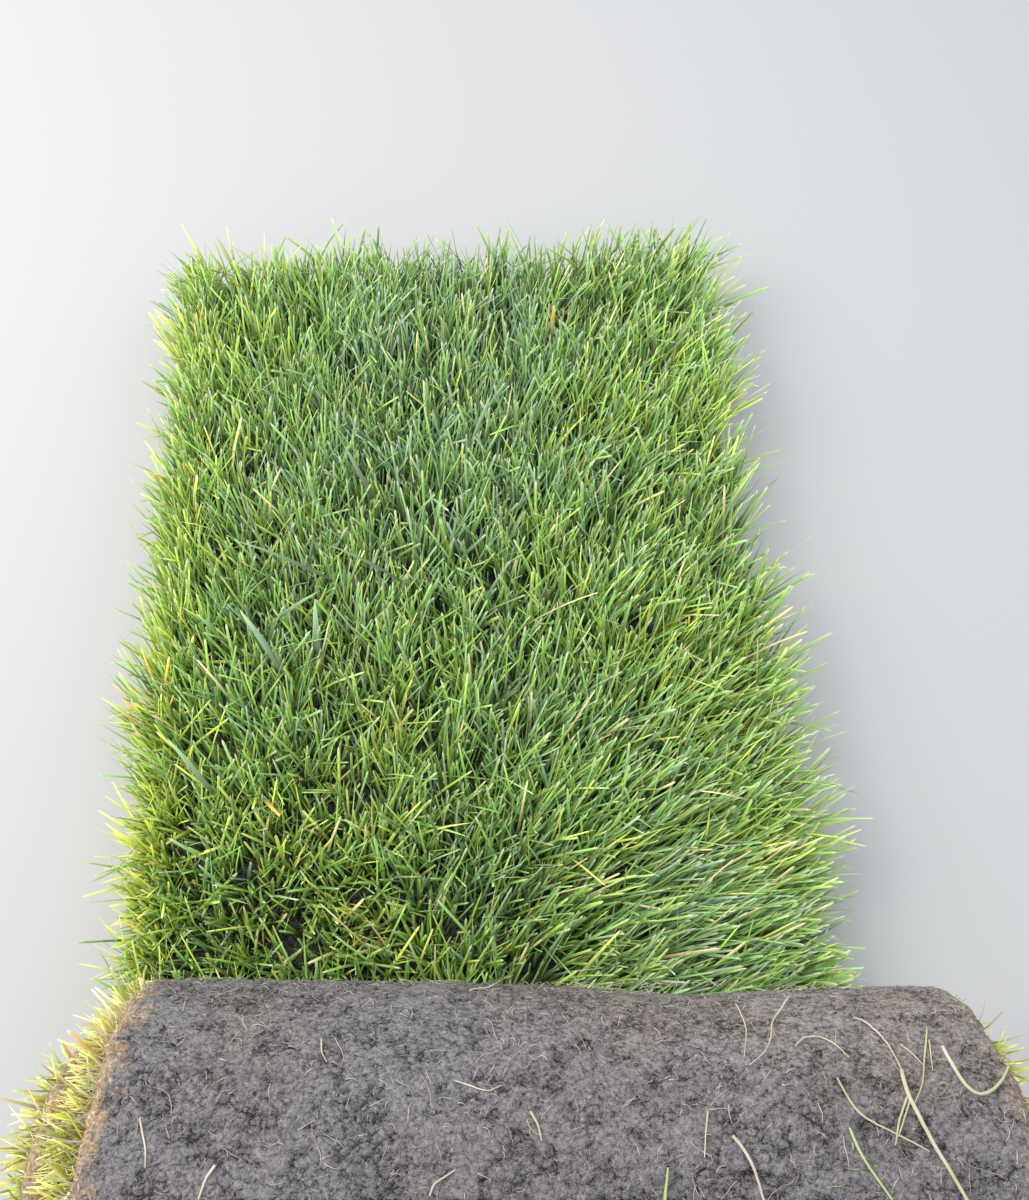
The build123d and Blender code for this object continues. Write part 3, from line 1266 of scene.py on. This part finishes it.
@dataclass
class BladeMaker:
    """Grows blades as closed slips with a flat upper face and a keel along the back. The points low and high
    are the corners of the solids' box."""

    strip: Strip
    kinds: int
    low: Array
    high: Array
    floor: float = 0.8 * MM
    overhang: float = 21 * MM
    off_roll: float = 1.2 * MM
    keel: float = 0.42  # its depth as a share of half the blade's width
    blunt: float = 0.965  # how far up a mown blade its last ring is
    bend_power: float = 1.4

    def grow(self, name: str, tuft: Tuft, rings: int, clear: bool = True) -> Piece:
        """Makes all the blades of a tuft as one mesh. A blade starts at its root, leaning by lean from
        upright towards its heading, and its lean grows by bend times t to the bend power up to its tip. Its
        width swells to full near a quarter of its length. A mown blade keeps two thirds of it up to a blunt
        end, and the others run out to a point. Blades that reach too far out of the solids' box are left out.

        Args:
            name: The piece's name.
            tuft: The blades.
            rings: Rings of three points along each blade, before its tip.
            clear: Whether blades are kept out of the roll.

        Returns:
            The new object.
        """
        last = np.where(tuft.cut, self.blunt, (rings - 1) / rings)[:, None]
        t = np.concatenate([np.arange(rings)[None, :] / (rings - 1) * last, np.ones_like(last)], 1)
        lean = tuft.lean[:, None] + tuft.bend[:, None] * t**self.bend_power
        turn = tuft.heading[:, None] + tuft.twist[:, None] * 0.25 * t
        ahead = np.stack([np.cos(turn), np.sin(turn), np.zeros_like(turn)], -1)
        along = np.sin(lean)[..., None] * ahead + np.cos(lean)[..., None] * np.array([0.0, 0.0, 1.0])
        step = (along[:, 1:] + along[:, :-1]) / 2 * (np.diff(t) * tuft.length[:, None])[..., None]
        line = np.concatenate([np.zeros((len(step), 1, 3)), np.cumsum(step, 1)], 1) + tuft.root[:, None, :]
        if clear:
            line = self.strip.lifted_off(line, self.off_roll)
        line[..., 2] = np.maximum(line[..., 2], self.floor)
        kept = np.all((line > self.low - self.overhang) & (line < self.high + self.overhang), axis=(1, 2))
        tuft, line, t, along, turn = tuft.only(kept), line[kept], t[kept], along[kept], turn[kept]
        across = np.stack([-np.sin(turn), np.cos(turn), np.zeros_like(turn)], -1)
        roll = tuft.twist[:, None] * (0.4 + t)
        across = across * np.cos(roll)[..., None] + np.cross(along, across) * np.sin(roll)[..., None]
        face = np.cross(along, across)
        swell = (0.62 + 0.38 * ease(t, 0, 0.28)) * np.where(tuft.cut[:, None], 1 - 0.34 * t**2, 1 - t**3.2)
        half = (tuft.width[:, None] / 2 * swell)[:, :rings, None]
        spine, across, face = line[:, :rings], across[:, :rings] * half, face[:, :rings] * half
        corners = np.stack([spine - across, spine + across, spine + face * self.keel], 2)
        rows = np.concatenate([corners.reshape(len(line), rings * 3, 3), line[:, -1:]], 1)
        made = new_object(name, rows.reshape(-1, 3), self.faces(len(line), rings))
        self.sharpen(made, rings)
        self.map_blades(made, tuft, t)
        return made

    def faces(self, blades: int, rings: int) -> list[Array]:
        """The faces of all the blades.

        Args:
            blades: Number of blades.
            rings: Rings of three points along each blade.

        Returns:
            Quads of the three long sides, and triangles of the tip and of the foot.
        """
        i, j = np.meshgrid(np.arange(rings - 1), np.arange(3), indexing="ij")
        a, b = i * 3 + j, i * 3 + (j + 1) % 3
        wall = np.stack([a, b, b + 3, a + 3], -1).reshape(-1, 4)
        last = (rings - 1) * 3
        tip = [[last + j, last + (j + 1) % 3, last + 3] for j in range(3)]
        shift = np.arange(blades)[:, None, None] * (rings * 3 + 1)
        ends = np.array([*tip, [2, 1, 0]])
        return [(wall[None] + shift).reshape(-1, 4), (ends[None] + shift).reshape(-1, 3)]

    def sharpen(self, made: Piece, rings: int) -> None:
        """Marks the long edges and the tip edges sharp, so that each side shades as one smooth strip.

        Args:
            made: The blades.
            rings: Rings of three points along each blade.
        """
        size = rings * 3 + 1
        pairs = np.empty(len(made.data.edges) * 2, np.int32)
        made.data.edges.foreach_get("vertices", pairs)
        pairs = np.sort(pairs.reshape(-1, 2), 1)
        sharp = (pairs[:, 1] - pairs[:, 0] == 3) | (pairs[:, 1] % size == size - 1)
        made.data.attributes.new("sharp_edge", "BOOLEAN", "EDGE").data.foreach_set("value", sharp)

    def map_blades(self, made: Piece, tuft: Tuft, t: Array) -> None:
        """Gives each corner its place in the blade map: its kind of blade across and its height up the blade.
        Only mown blades reach the dry cut at the top of the map.

        Args:
            made: The blades.
            tuft: What they were grown from.
            t: How far up its blade each ring and the tip are, from 0 to 1.
        """
        side = np.append(np.tile([-0.42, 0.42, 0.0], t.shape[1] - 1), 0.0)
        u = (tuft.kind[:, None] + 0.5 + side[None, :]) / self.kinds
        v = np.concatenate([np.repeat(t[:, :-1], 3, 1), t[:, -1:]], 1) * np.where(tuft.cut, 1.0, 0.9)[:, None]
        spots = np.stack([u, v], -1).reshape(-1, 2)
        corner = np.empty(len(made.data.loops), np.int32)
        made.data.loops.foreach_get("vertex_index", corner)
        flat = spots[corner].astype(np.float32).ravel()
        for name in (BLADE_MAP, BAKE_MAP):
            made.data.uv_layers.new(name=name).uv.foreach_set("vector", flat)


# The leaves and straws that lie on top: how far the foot is from the line under the roll, its place across,
# the same two for the tip, the height over the floor and the width, all in millimetres, and then the kind of
# blade from 0 to 1.
TOP_LEAVES = (
    (297, -118, 342, -146, 44, 4.4, 0.98),
    (312, -96, 350, -99, 42, 4.2, 0.97),
    (362, -86, 388, -155, 50, 2.6, 0.93),
    (361, -40, 386, -92, 50, 2.6, 0.95),
    (217, -158, 250, -188, 46, 3.4, 0.9),
    (330, -130, 352, -92, 46, 2.6, 0.9),
    (470, 10, 512, 30, 46, 3.2, 0.96),
    (430, -60, 470, -82, 46, 3.0, 0.95),
    (276, -149, 302, -170, 52, 1.5, 0.1),
    (208, 176, 214, 140, 50, 1.3, 0.09),
    (566, 76, 590, 78, 50, 2.6, 0.02),
    (212, -127, 201, -117, 48, 2.2, 0.01),
    (250, 60, 280, 84, 46, 1.2, 0.1),
    (330, 40, 350, 92, 44, 1.2, 0.11),
    (420, 90, 452, 118, 46, 1.1, 0.1),
    (150, 30, 158, 74, 40, 1.1, 0.12),
    (300, 178, 318, 226, 50, 1.4, 0.1),
    (120, -60, 150, -92, 38, 1.1, 0.1),
)


@dataclass
class Lie:
    """How high, how bent and how coloured the grass of the flat part is at some places. A place is its
    distance d from the line under the roll and its place w across, both in millimetres."""

    d: Array
    w: Array
    seed: int

    def away_from(self, near: float, far: float) -> Array:
        """Rises from 0 to 1 between two distances from the line under the roll."""
        return ease(self.d, near, far)

    def rightwards(self, left: float, right: float) -> Array:
        """Rises from 0 to 1 between two places across."""
        return ease(self.w, left, right)

    def uneven(self, base: Array, *layers: tuple) -> Array:
        """A field with smooth noises added to it."""
        return layered(self.d, self.w, self.seed, *layers, base=base)

    def push(self) -> tuple[Array, Array]:
        """How hard the grass leans. Both sides lean out, and near the roll the grass is combed far over to
        the right. Away from the roll it leans evenly, less on the left beside the roll and at the cut end.

        Returns:
            The parts across and away from the roll of a leaning vector.
        """
        by_roll = 1 - self.away_from(120, 330)
        left_edge = (0.3 - 0.17 * self.away_from(150, 380)) * (1 - self.rightwards(-198, -160))
        outwards = 0.3 * self.rightwards(20, 190) - left_edge - 0.1 * (1 - self.rightwards(-170, -60))
        across = self.uneven(outwards + 0.78 * (by_roll * self.rightwards(-50, 120)), (0.13, 50, 42, 1))
        ahead = 0.34 + 0.06 * self.away_from(150, 400) - 0.26 * (by_roll * (1 - self.rightwards(-120, 60)))
        return across, self.uneven(ahead, (0.12, 45, 48, 2)) * (1 - 0.6 * self.away_from(605, 650))

    def mown(self) -> Array:
        """Height of the cut tips over the mat in millimetres: lower on the left, highest on the right."""
        height = 33 + 4 * self.rightwards(-198, -140) + 6 * self.rightwards(20, 170)
        height = height - 4 * (1 - self.away_from(80, 260)) * (1 - self.rightwards(-100, 20))
        return self.uneven(height, (2.5, 38, 34, 3), (1.5, 14, 14, 4))

    def tone(self) -> Array:
        """Kind of blade: yellower at the left edge, the right side and the left of the cut end, bluer in the
        middle of the far half, and, beside the roll, yellower on the left and bluer and darker on the right,
        as painted shade on the combed blades.

        Returns:
            Kinds from 0, straw, to 1, blue-green.
        """
        left_edge = (1 - self.rightwards(-202, -150)) * (1.3 - 0.55 * self.away_from(150, 420))
        tone = 0.62 - 0.18 * left_edge - 0.1 * self.rightwards(80, 200)
        tone = tone - 0.12 * self.away_from(598, 640) * (1 - self.rightwards(-40, 60))
        tone = tone + 0.14 * self.away_from(300, 480) * bell(self.w, -10, 110)
        # Beside the roll: yellower kinds on the left, and on the right bluer, darker kinds as painted shade
        # on the combed blades.
        tone = tone - 0.16 * (1 - self.away_from(90, 300)) * (0.4 - self.rightwards(-60, 60))
        return self.uneven(tone, (0.1, 62, 58, 5), (0.08, 20, 18, 6))

    def shortened(self) -> Array:
        """How much of their length blades keep: less at the right edge beside the roll."""
        return 1 - 0.42 * (1 - self.away_from(90, 230)) * self.rightwards(130, 200)

    def dry_share(self) -> Array:
        """Share of dry blades: more near the roll."""
        return 0.018 + 0.03 * (1 - self.away_from(60, 260))

    def golden_share(self) -> Array:
        """Share of golden blades: only at the left edge, and here and there along it."""
        clumps = ease(waves(self.d / 30, self.w * 0, self.seed + 9), 0.0, 0.5)
        return 0.16 * clumps * (self.w < -188)


@dataclass
class Sward:
    """The standing grass of the flat part. Distances and widths are in millimetres."""

    strip: Strip
    maker: BladeMaker
    seed: int = 5
    tiller: int = 3  # blades that stand together
    scatter: float = 1.2  # of the blades of one tiller
    corner: float = 20.0  # radius of the mat's far corners
    border_share: float = 0.1  # of the tillers, in the thick left border
    border_width: float = 16.0

    def inside(self, d: Array, w: Array, half: float) -> Array:
        """Whether places lie on the mat, whose far corners are rounded.

        Args:
            d: Distance from the line under the roll.
            w: Place across.
            half: Half the mat's width.

        Returns:
            True where they do.
        """
        past_end = np.maximum(d - self.strip.flat / MM + self.corner, 0)
        return np.hypot(past_end, np.maximum(np.abs(w) - half + self.corner, 0)) < self.corner

    def sow(
        self,
        rng: np.random.Generator,
        low: float,
        high: float,
        count: int,
        scale: float = 1.0,
        crowd: float = 1.0,
    ) -> Tuft:
        """Blades in small tillers over the stretch from low to high.

        Args:
            rng: Where the random numbers come from.
            low: Least distance d.
            high: Greatest distance d.
            count: Number of blades.
            scale: Length of these blades as a share of the full one.
            crowd: How much closer they stand near the roll: the power that even random places are raised to.

        Returns:
            The blades.
        """
        tillers = count // self.tiller
        half = self.strip.width / MM / 2
        border = rng.random(tillers) < self.border_share
        left = rng.uniform(-half, self.border_width - half, tillers)
        place = np.where(border, left, rng.uniform(-half, half, tillers))
        ahead = low + (high - low) * rng.random(tillers) ** crowd
        d = np.repeat(ahead, self.tiller) + rng.normal(0, self.scatter, tillers * self.tiller)
        w = np.repeat(place, self.tiller) + rng.normal(0, self.scatter, tillers * self.tiller)
        common = np.repeat(rng.normal(0, 0.1, (2, tillers)), self.tiller, 1)
        on_mat = self.inside(d, w, half) & (d > 4)
        d, w, common = d[on_mat], w[on_mat], common[:, on_mat]
        n, lie = len(d), Lie(d, w, self.seed)
        across, away = lie.push()
        stray = np.where(rng.random(n) < 0.12, 2.2, 1.0)
        lean_x = np.maximum(across * 0.62 + common[0] + rng.normal(0, 0.17, n) * stray, -0.5)
        lean_y = away * 0.62 + common[1] + rng.normal(0, 0.15, n) * stray
        lean = np.clip(np.hypot(lean_x, lean_y), 0.02, 1.1)
        bend = np.clip(0.1 + 0.7 * lean + rng.normal(0, 0.16, n), -0.1, 1.1)
        up_blade = np.linspace(0, 1, 9)[None, :] ** self.maker.bend_power
        upright = np.cos(lean[:, None] + bend[:, None] * up_blade).mean(1)
        length = lie.mown() * rng.normal(1, 0.09, n) / np.maximum(upright, 0.3)
        length = length * np.where(rng.random(n) < 0.16, rng.uniform(0.65, 0.95, n), 1.0)
        length = np.clip(length, 22, 64) * lie.shortened()
        tone = np.clip(lie.tone() + rng.normal(0, 0.19, n), 0.2, 0.995)
        dry = rng.random(n) < lie.dry_share()
        gold = rng.random(n) < lie.golden_share()
        tone = np.where(dry, rng.uniform(0.06, 0.13, n), np.where(gold, rng.uniform(0.0, 0.05, n), tone))
        return Tuft(
            root=self.strip.place(-d * MM, w * MM, self.strip.mat - 0.5 * MM),
            heading=np.arctan2(lean_y, lean_x),
            lean=lean,
            bend=bend,
            length=length * scale * MM,
            width=np.clip(rng.normal(1.6, 0.42, n), 0.8, 3.0) * MM,
            twist=rng.normal(0, 0.6, n),
            kind=np.floor(tone * self.maker.kinds),
            cut=rng.random(n) < 0.62,
        )

    def top_leaves(self, leaves: tuple[tuple, ...], rise: float = 8.0) -> Tuft:
        """The few broad blue-green leaves, dry straws and yellow leaves that lie on top of the grass. Each
        runs from its foot to its tip, and straws and yellow leaves have a cut tip.

        Args:
            leaves: The leaves.
            rise: How much higher a leaf's tip aims than its foot, in millimetres.

        Returns:
            The blades.
        """
        rows = np.array(leaves)
        n = len(rows)
        root = self.strip.place(-rows[:, 0] * MM, rows[:, 1] * MM, rows[:, 4] * MM)
        span = self.strip.place(-rows[:, 2] * MM, rows[:, 3] * MM, (rows[:, 4] + rise) * MM) - root
        return Tuft(
            root=root,
            heading=np.arctan2(span[:, 1], span[:, 0]),
            lean=np.full(n, 1.1),
            bend=np.full(n, 0.55),
            length=np.linalg.norm(span, axis=1),
            width=rows[:, 5] * MM,
            twist=np.tile([0.25, -0.2, 0.15], n)[:n],
            kind=np.floor(rows[:, 6] * self.maker.kinds),
            cut=rows[:, 6] < 0.5,
        )


@dataclass
class Fringe:
    """The grass that sticks out of the strip's long edges, between the turns and beside the roll."""

    strip: Strip
    maker: BladeMaker

    def sow(self, rng: np.random.Generator, side: Side, low: float, high: float, count: int) -> Tuft:
        """Blades rooted near one long edge of the wound part. Three in ten are straw, one in eleven is
        golden, and the others are yellow-green.

        Args:
            rng: Where the random numbers come from.
            side: The long side.
            low: Least distance along the strip.
            high: Greatest distance along the strip.
            count: Number of blades.

        Returns:
            The blades.
        """
        s = rng.uniform(low, high, count)
        w = side.value * (self.strip.width / 2 - rng.uniform(0.2, 5, count) * MM)
        depth = self.strip.mat + rng.uniform(1.0, 8.0, count) * MM
        out = 0.0 if side is Side.RIGHT else math.pi
        pick = rng.random(count)
        straw, green = rng.uniform(0.06, 0.17, count), rng.normal(0.24, 0.05, count).clip(0.19, 0.8)
        tone = np.where(pick > 0.91, 0.02, np.where(pick < 0.3, straw, green))
        return Tuft(
            root=self.strip.place(s, w, depth),
            heading=out + rng.normal(0, 0.6, count).clip(-1.2, 1.2),
            lean=np.clip(rng.normal(1.3, 0.25, count), 0.95, 2.0),
            bend=rng.normal(0.5, 0.45, count),
            length=np.clip(rng.normal(20, 6, count), 8, 34) * MM,
            width=np.clip(rng.normal(1.25, 0.4, count), 0.6, 2.6) * MM,
            twist=rng.normal(0, 0.9, count),
            kind=np.floor(tone * self.maker.kinds),
            cut=rng.random(count) < 0.4,
        )


def standing(right: Array, above: Array, back: Array, place: Array) -> Matrix:
    """The matrix of a thing whose own axes X, Y and Z point along right, above and back.

    Args:
        right: Where its X axis points.
        above: Where its Y axis points.
        back: Where its Z axis points, away from what it looks at.
        place: Where it is.

    Returns:
        The matrix.
    """
    rows = np.eye(4)
    rows[:3] = np.stack([right, above, back, place], -1)
    return Matrix(rows.tolist())


@dataclass
class Lighting:
    """A plain pale floor, soft even light and the camera."""

    strip: Strip
    eye: tuple[float, float, float] = (-38.0, 22.8, 723.4)  # from the line under the roll, in millimetres
    focal_px: float = 1118.1
    frame_px: tuple[int, int] = (1029, 1200)
    pitch: float = math.radians(64.25)
    yaw: float = math.radians(3.69)
    roll: float = math.radians(4.42)
    floor_size: float = 6.0
    floor_colour: tuple = linear(192, 192, 190)
    sky: tuple = linear(240, 245, 255)
    sky_strength: float = 1.15
    lamp_watts: float = 26.0
    lamp_size: float = 1.4
    lamp_colour: tuple[float, float, float] = (1.0, 0.95, 0.88)
    lamp_place: tuple[float, float, float] = (-1.2, 0.35, 1.35)
    lamp_aim: tuple[float, float, float] = (0.0, 0.0, 0.05)

    def set_camera(self) -> None:
        """Puts the camera over the roll, looking down and along the flat part: pitched down, turned by yaw
        and tilted by roll."""
        data = bpy.data.cameras.new("camera")
        data.sensor_width = 36.0
        data.lens = self.focal_px / max(self.frame_px) * data.sensor_width
        data.clip_start = 0.01
        camera = put_in_scene("camera", data)
        level = math.cos(self.pitch)
        ahead = np.array([math.sin(self.yaw) * level, math.cos(self.yaw) * level, -math.sin(self.pitch)])
        flat_right = np.array([math.cos(self.yaw), -math.sin(self.yaw), 0.0])
        above = np.cross(flat_right, ahead)
        right = flat_right * math.cos(self.roll) + above * math.sin(self.roll)
        above = -flat_right * math.sin(self.roll) + above * math.cos(self.roll)
        place = np.array([self.strip.axis_x, self.strip.axis_y, 0.0]) + np.array(self.eye) * MM
        camera.matrix_world = standing(right, above, -ahead, place)
        bpy.context.scene.camera = camera

    def set_floor(self) -> None:
        """Lays a large pale floor at the height that the strip rests on."""
        corners = np.array([[-1, -1, 0], [1, -1, 0], [1, 1, 0], [-1, 1, 0]]) * self.floor_size
        floor = new_object("floor", corners, [np.array([[0, 1, 2, 3]])])
        colour = self.floor_colour
        made, _, _ = new_material("floor", Base_Color=colour, Roughness=0.9, Specular_IOR_Level=0.1)
        floor.data.materials.append(made)
        floor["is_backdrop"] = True

    def set_sky(self) -> None:
        """An even sky that lights the object, and shows as white to the camera and in reflections."""
        world = bpy.data.worlds.new("sky")
        world.use_nodes = True
        world.node_tree.nodes.clear()
        n = Nodes(world.node_tree)
        ray = n.add("LightPath").outputs
        seen = n.maths("MAXIMUM", ray["Is Camera Ray"], ray["Is Glossy Ray"])
        seen = n.maths("MAXIMUM", seen, ray["Is Transmission Ray"])
        mixed = n.add("MixShader", Fac=seen)
        n.feed(mixed.inputs[1], n.add("Background", Color=self.sky, Strength=self.sky_strength).outputs[0])
        n.feed(mixed.inputs[2], n.add("Background", Color=(1.0, 1.0, 1.0, 1.0), Strength=1.0).outputs[0])
        n.add("OutputWorld", Surface=mixed.outputs[0])
        bpy.context.scene.world = world

    def set_lamp(self) -> None:
        """One large soft lamp from the upper left."""
        lamp = bpy.data.lights.new("soft_lamp", "AREA")
        lamp.energy = self.lamp_watts
        lamp.color = self.lamp_colour
        lamp.size = self.lamp_size
        back = unit(np.array(self.lamp_place) - np.array(self.lamp_aim))
        side = unit(np.cross([0.0, 0.0, 1.0], back))
        holder = put_in_scene("soft_lamp", lamp)
        holder.matrix_world = standing(side, np.cross(back, side), back, np.array(self.lamp_place))

    def build(self) -> None:
        """Sets up everything that isn't the object."""
        bpy.context.scene.view_settings.view_transform = "Standard"
        self.set_camera()
        self.set_floor()
        self.set_sky()
        self.set_lamp()


def dress(made: Piece, material: Material, slot: str, *nodes: str) -> None:
    """Gives a piece its material and its body, and hides the solids that it stands for.

    Args:
        made: The piece.
        material: What it wears.
        slot: Not used.
        *nodes: The solids that it replaces.
    """
    made.data.materials.append(material)
    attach(made, "root")
    if nodes:
        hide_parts(*nodes)
    log.info("%s: %d faces", made.name, len(made.data.polygons))


def make_soil(strip: Strip, shop: Workshop, rng: np.random.Generator) -> None:
    """Builds the mat of the roll and of the flat part, with its rootlets and the loose stems on it.

    Args:
        strip: The strip.
        shop: The shared node groups.
        rng: Where the random numbers come from.
    """
    starts = strip.starts
    soil = SoilMat(strip)
    earth = EarthFinish().make(shop)
    dent = Dent(along=starts[1] + 120 * MM, across=72 * MM, length=50 * MM, width=50 * MM, height=-5.5 * MM)
    for band in (
        Band("roll_far_side", starts[1], starts[2], rows=200, across=258, dents=[dent]),
        Band("roll_near_side", starts[0], starts[1], rows=92, across=258),
        Band("roll_inner_turns", starts[2], starts[-1], rows=170, across=40, back=12),
        Band("laid_mat", -strip.flat, starts[0], rows=150, across=40, back=12, corner=20 * MM, felted=0.8),
    ):
        dress(soil.build(band), earth, "soil", "soil_mat")

    roots = Rootlets(strip, soil)
    pale = RootFinish().make(shop)
    crest = starts[1] - 20 * MM  # just on the near side of the roll's top line
    groups = [
        roots.on_face(rng, crest, starts[1] + 150 * MM, 1000),
        roots.on_face(rng, starts[0], starts[1], 250),
        roots.on_edge(rng, crest, starts[1] + 200 * MM, 340, Side.LEFT),
        roots.on_edge(rng, starts[0], starts[1], 120, Side.LEFT),
        roots.on_edge(rng, starts[0], starts[2], 160, Side.RIGHT),
    ]
    dress(roots.build("rootlets", groups), pale, "soil", "soil_mat")
    dress(LooseStems(strip, soil).build("loose_stems", LOOSE_STEMS), pale, "grass", "grass_sward")


def make_grass(strip: Strip, shop: Workshop, rng: np.random.Generator, box: Array) -> None:
    """Builds the grass pressed in the roll, the sward of the flat part and the fringes of the roll.

    Args:
        strip: The strip.
        shop: The shared node groups.
        rng: Where the random numbers come from.
        box: The two corners of the solids' box.
    """
    starts = strip.starts
    pressed = Band(
        "pressed_grass",
        starts[0],
        starts[-1],
        rows=230,
        across=16,
        top=strip.mat,
        bottom=strip.pitch,
        side_rows=6,
        back=8,
        rounding=3 * MM,
    )
    dress(PressedGrass(strip).build(pressed), ThatchFinish().make(shop), "grass", "grass_sward")

    finish = BladeFinish()
    maker = BladeMaker(strip, finish.kinds, *box)
    sward, fringe = Sward(strip, maker), Fringe(strip, maker)
    blades = finish.make()
    third = strip.flat / MM / 3
    for name, low, high in (
        ("sward_near", 25, third),
        ("sward_middle", third, 2 * third),
        ("sward_far", 2 * third, 3 * third),
    ):
        dress(maker.grow(name, sward.sow(rng, low, high, 6950), 4), blades, "grass", "grass_sward")
    under = sward.sow(rng, 0, 3 * third, 8900, scale=0.6, crowd=1.35)
    dress(maker.grow("sward_undergrowth", under, 3), blades, "grass", "grass_sward")
    dress(maker.grow("broad_leaves", sward.top_leaves(TOP_LEAVES), 6), blades, "grass", "grass_sward")
    for name, side, low, high, count in (
        ("roll_fringe_left", Side.LEFT, starts[0], starts[-1], 1700),
        ("roll_fringe_top_left", Side.LEFT, starts[1] - 60 * MM, starts[1] + 190 * MM, 1650),
        ("roll_fringe_right", Side.RIGHT, starts[0], starts[-1], 1400),
    ):
        grown = maker.grow(name, fringe.sow(rng, side, low, high, count), 3, clear=False)
        dress(grown, blades, "grass", "grass_sward")


def main() -> None:
    """Builds the roll of turf, piece by piece."""
    logging.basicConfig(level=logging.INFO, format="%(name)s %(message)s")
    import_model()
    cad_box = [list(corner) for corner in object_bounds()]
    low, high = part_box("soil_mat")
    strip = Strip(axis_x=high.x - Strip.width / 2, axis_y=low.y + Strip.radius)
    rng = np.random.default_rng(20)
    shop = Workshop()
    Lighting(strip).build()
    make_soil(strip, shop, rng)
    make_grass(strip, shop, rng, np.array(cad_box))


if __name__ == "__main__":
    main()
